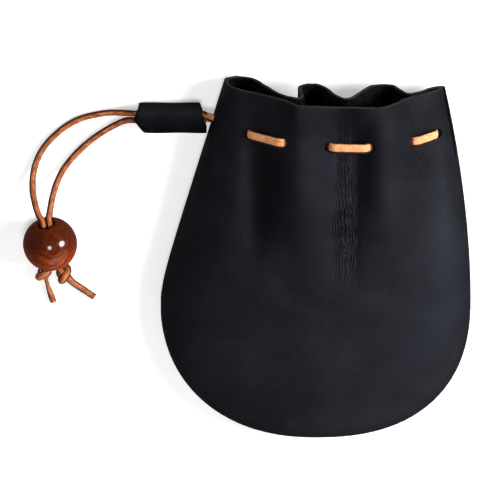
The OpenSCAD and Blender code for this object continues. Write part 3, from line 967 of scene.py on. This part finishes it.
def stitch(x1, x2, front, outside):
    """From a hole nearly to the next one, bridging any valley: place, normal and share of full width."""
    sign = 1 if outside else -1
    (a, na), (b, nb) = (spot(front, x, sign * LIFT, CLEAR) for x in (x1, x2))
    up = 1 if front == outside else -1
    rows = [(*spot(front, x1, 0)[0], *na, 0.5)]
    far = float(np.linalg.norm(b - a))
    for gone in (1.3, 2.6, 0.35 * far, 0.5 * far, 0.65 * far, far - 2.6, far - 1.3):
        p, n = mix(a, b, gone / far), unit(mix(na, nb, gone / far))
        on, n_on = spot(front, p[0], sign * LIFT, CLEAR)
        if up * (on[2] - p[2]) > 0:
            p[2] = on[2]
        if min(gone, far - gone) < 1.4:
            p = p - 0.35 * sign * n
        rows.append((*p, *unit(n + n_on * 0.3), 1))
    return rows


def stitches(places, front):
    """Stitches through a row of holes, by turns outside and inside."""
    rows = []
    for k, (a, b) in enumerate(zip(places, places[1:])):
        rows += stitch(a, b, front, k % 2 == 0)
    p, n = spot(front, places[-1], 0)
    return rows + [(*p, *n, 0.5)]


TURN_UPPER, TURN_LOWER = (-35.8, 50.2, 5.9), (-35.6, 48.4, 2.9)
first, first_n = spot(True, -28.5, -LIFT - 0.4)
neck_rows = [(*TURN_UPPER, 0, 0.3, 1, 0), (*FRONT_END_HOLE, 0, 0.3, 1, 0),
             (-32.2, 49.7, 8.6, -0.3, 0.2, 1, 0), (*first, *first_n, 1)]
neck_rows += stitches(FRONT_HOLES[:-1] + [39.7], True) + stitches(BACK_HOLES, False)
neck_rows += [(-20.4, 48.7, 5.6, 0, 0.3, 1, 1), (-25, 48.9, 4, 0, 0.3, 1, 1),
              (-30.6, 48.8, 3.6, 0, 0.3, 1, 0), (*BACK_END_HOLE, 0, 0.3, 1, 0), (*TURN_LOWER, 0, 0.3, 1, 0)]
neck_all = spline(neck_rows, 0.4)
flat_share = smooth(neck_all[:, 6])
up_ref = neck_all[:, 3:6]
for k in range(1, len(up_ref)):
    t = unit(neck_all[min(k + 1, len(up_ref) - 1), :3] - neck_all[k - 1, :3])
    v = up_ref[k] - t * (up_ref[k] @ t)
    up_ref[k] = unit(0.75 * unit(v) + 0.25 * up_ref[k - 1]) if np.linalg.norm(v) > 0.2 else up_ref[k - 1]
neck_lace = sweep("neck_lace", neck_all[:, :3], mix(1.3, 1.8, flat_share), mix(0.92, 0.88, flat_share),
                  up_ref, LACE_LOOKS, ends=(False, False), wobble=0.03, seed=3)
# The first 3 mm, where the lace leaves the bag, carry a painted highlight, and each stitch is rubbed pale
turn_highlight = 0.7 * (np.arange(len(neck_all)) * 0.4 < 3)
rubbed_stitch = smooth(flat_share * 1.6) * smooth((neck_all[:, 0] + 30) / 3)
set_lace_values(neck_lace, "rub_and_highlight", np.maximum(rubbed_stitch, turn_highlight))
# Painted shade where the neck lace dips into its holes
set_lace_values(neck_lace, "dips", smooth((0.93 - flat_share) / 0.3) * smooth((neck_all[:, 0] + 31) / 3))


def lead(tag, turn_at, dip, side):
    """The stretch of lace from the bag's side through the slider."""
    y = SLIDER_Y + side * LANE
    route = [turn_at, (SLIDER_X + 0.4, y, dip)]
    route += [(SLIDER_MOUTH + (SLIDER_L - 1.2) * k / 3, y, SLIDER_Z) for k in (3, 2, 1, 0)]
    path = spline(route, 0.4)
    piece = sweep(f"lead_{tag}_lace", path, LACE_D / 2, LACE_D / 2 * 0.94, (0, 0, 1), LACE_LOOKS,
                  ends=(False, False), wobble=0.03, seed=7)
    # Painted highlight on the stretch between the slider and the bag
    set_lace_values(piece, "rub_and_highlight", 0.7 * smooth((path[:, 0] - SLIDER_X) / 1.5))
    return piece


lead_upper = lead("upper", TURN_UPPER, 4.7, 1)
lead_lower = lead("lower", TURN_LOWER, 3.7, -1)


# ---- slider: a rolled strip of leather
def rolled_slider():
    """A strip rolled one and a half times into a rounded box, with slanting ends and pinched edges."""
    thick, turns, end_angle, steps = 1.1, 1.55, 158.0, 26
    w = np.linspace(0, turns, 132)
    angle = np.radians(end_angle - 360 * (turns - w))
    shrink = (thick + 0.03) * (turns - w)
    a, b = 5.25 - thick / 2 - shrink, 4.2 - thick / 2 - shrink
    cos, sin = np.cos(angle), np.sin(angle)
    over, above = (np.sign(v) * np.abs(v) ** 0.7 for v in (cos, sin))
    centre = np.stack([a * over, b * above], axis=1)
    t = unit(np.gradient(centre, axis=0))
    out = np.stack([t[:, 1], -t[:, 0]], axis=1)
    section = [(centre + out * thick / 2, 1), (centre - out * thick / 2, -1)]
    left = SLIDER_MOUTH + np.where(over > 0, 1.7, 3.5) * np.abs(over)
    left = left + np.where(sin < 0, 0.8, 0) * np.abs(sin)
    right = SLIDER_X + 0.2 - 1.1 * over + 0.1 * np.sin(3 * angle)
    rows = []
    for i in range(steps + 1):
        k = i / steps
        k = 0.5 - 0.5 * math.cos(math.pi * k) if i in (0, steps) else k
        x = left + (right - left) * k
        sag = 0.03 * np.sin(k * 7.1 + 1.0) + 0.05 * np.sin(k * 9 + 2 * angle)
        pinch = 0.16 if i in (0, steps) else 0
        ring = []
        for line, outward in section:
            shift = out * (sag[:, None] - pinch * outward)
            ring.append(np.column_stack([x, SLIDER_Y + line[:, 0] + shift[:, 0],
                                         np.maximum(SLIDER_Z + line[:, 1] + shift[:, 1], 0.02)]))
        rows.append(np.vstack([ring[0], ring[1][::-1]]))
    n = len(rows[0])
    faces = ring_faces(steps + 1, n)
    slots = [1 if k in (n // 2 - 1, n - 1) else 0 for _ in range(steps) for k in range(n)]
    for base, order in ((0, -1), (steps * n, 1)):
        for k in range(n // 2 - 1):
            faces.append((base + k, base + k + 1, base + n - 2 - k, base + n - 1 - k)[::order])
            slots.append(1)
    return new_object("slider_roll", np.vstack(rows), faces, [SLIDER_LEATHER, EDGE], slots)


slider = rolled_slider()


# ---- bead
def turned_bead():
    """A ball with a bore along its own Z; the edges of the bore are rounded over soft mm."""
    r, bore, soft, sides = BEAD_D / 2, BEAD_BORE / 2, 0.9, 96
    top = math.sqrt(r * r - (bore + soft) ** 2)

    def lip(end, first):
        angles = np.radians(range(first, first + 75, 15))
        return [(bore + soft + soft * math.cos(a), end + soft * 0.72 * (math.sin(a) - math.copysign(1, end)))
                for a in angles]

    start = math.asin(-top / r)
    ball = [start + (-2 * start) * k / 64 for k in range(65)]
    profile = [(bore, -top + soft), *lip(-top, 195), *((r * math.cos(a), r * math.sin(a)) for a in ball),
               *lip(top, 105), (bore, top - soft)]
    profile += [(bore, z) for z in np.linspace(top - soft - 1.5, -top + soft + 1.5, 6)]
    points = [(p[0] * math.cos(2 * math.pi * s / sides), p[0] * math.sin(2 * math.pi * s / sides), p[1])
              for p in profile for s in range(sides)]
    local = np.array(points)
    turned = Matrix.Rotation(turn, 3, "Z") @ Matrix.Rotation(tilt - math.pi / 2, 3, "X")
    world = local @ np.array(turned).T + BEAD_C
    obj = new_object("turned_bead", world, ring_faces(len(profile), sides, closed=True), [BEAD_WOOD])
    set_values(obj, "turned", local)
    return obj


bead = turned_bead()


# ---- stitches of the seam, inside the bag
def seam_stitches():
    """One thread along the seam inside the bag, thickest midway between needle holes 3 mm apart."""
    inset, step, pitch = LEATHER_T + 0.28, 0.35, 3.0
    top = RIM_Y - RIM_SKEW
    y_side = np.linspace(top, WIDE_Y, 40)
    a = np.radians(np.linspace(0, 180, 90))
    e = 2 / np.where(np.cos(a) > 0, LEFT_P, RIGHT_P)
    low = np.stack([-(BAG_W / 2 - inset) * np.sign(np.cos(a)) * np.abs(np.cos(a)) ** e,
                    WIDE_Y - (ROUND_L - inset) * np.sin(a) ** e], axis=1)
    line = np.vstack([np.stack([left_x(y_side) + inset, y_side], axis=1)[:-1], low,
                      np.stack([right_x(y_side) - inset, y_side], axis=1)[::-1][1:]])
    line = resample(line, step)
    beat = np.abs(np.sin(np.arange(len(line)) * step * math.pi / pitch))
    path = np.column_stack([line, SEAM_H + 0.12 * beat])
    r = 0.16 + 0.26 * beat**0.6
    return sweep("seam_stitches", path, r, r, (0, 0, 1), [THREAD, THREAD], sides=8)


stitching = seam_stitches()

# ---- bodies and cords
for piece, body, slot, node in (
        (front_panel, "bag", "black_leather", "front_panel"),
        (back_panel, "bag", "black_leather", "back_panel"),
        (neck_lace, "bag", "tan_lace", "lace_neck"), (outer_tied, "bag", "tan_lace", "knot_outer"),
        (inner_tied, "bag", "tan_lace", "knot_inner"), (stitching, "bag", "black_thread", "seam_thread"),
        (slider, "slider", "slider_leather", "slider"), (bead, "bead", "bead_wood", "bead")):
    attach(piece, body)
    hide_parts(node)

for piece, node in ((lead_upper, "lead_upper"), (lead_lower, "lead_lower")):
    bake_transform(piece)
    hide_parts(node)

for piece, node in ((outer_strand, "strand_outer"), (inner_strand, "strand_inner")):
    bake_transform(piece)
    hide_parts(node)


# ---- floor and light
def add_floor():
    """The pale floor, just under the bag and brighter far off."""
    bm = bmesh.new()
    bmesh.ops.create_grid(bm, x_segments=4, y_segments=4, size=8.0)
    floor = add_mesh("floor", bm)
    floor.location.z = -0.00005
    floor.visible_glossy = False
    m, n, shader = material("floor_paint")
    distance = n.add("ShaderNodeVectorMath", operation="LENGTH")
    n.put(distance.inputs[0], n.point())
    n.fill(shader, {"Base Color": n.blend(n.noise(n.point(), 3.0), (0.86, 0.86, 0.86), (0.88, 0.88, 0.88)),
                    "Roughness": 0.9, "Emission Color": (1, 1, 1),
                    "Emission Strength": n.span(distance.outputs["Value"], 0.25, 1.2, 0.45, 0.95)})
    floor.data.materials.append(m)


def add_backdrop():
    """A pale dome far away that only the camera sees, so that a low view has no dark sky."""
    rings, sides, radius, sunk = 9, 48, 7500, 20
    points = [(radius * math.cos(t) * math.cos(a), radius * math.cos(t) * math.sin(a),
               radius * math.sin(t) - sunk)
              for t in np.linspace(0, 1.5, rings) for a in np.linspace(0, 2 * math.pi, sides, endpoint=False)]
    m, n, shader = material("backdrop_paint")
    n.fill(shader, {"Base Color": (0, 0, 0), "Emission Color": (1, 1, 1), "Emission Strength": 0.97})
    backdrop = new_object("backdrop", points, ring_faces(rings, sides), [m])
    backdrop.visible_diffuse = backdrop.visible_glossy = backdrop.visible_shadow = False
    backdrop.visible_transmission = False


def add_light(name, at, target, size, power):
    """An oval lamp at a place in metres, turned to the target."""
    data = bpy.data.lights.new(name, "AREA")
    data.shape, data.size, data.size_y, data.energy = "ELLIPSE", size[0], size[1], power
    obj = add_object(name, data)
    obj.location = at
    obj.rotation_euler = (Vector(target) - Vector(at)).to_track_quat("-Z", "Y").to_euler()


add_floor()
add_backdrop()
add_light("key", (0.95, 0.28, 0.75), (0, 0, 0.01), (0.5, 0.6), 23)
add_light("top", (-0.1, 0.07, 1.6), (0, 0, 0), (0.45, 0.45), 10)
add_light("fill", (0.75, -1.15, 0.6), (0, 0, 0), (2.4, 1.5), 9)
world = bpy.data.worlds.new("studio")
bpy.context.scene.world = world
world.use_nodes = True
world.node_tree.nodes["Background"].inputs[0].default_value = (1, 1, 1, 1)
world.node_tree.nodes["Background"].inputs[1].default_value = 0.08
bpy.context.scene.view_settings.view_transform = "Standard"
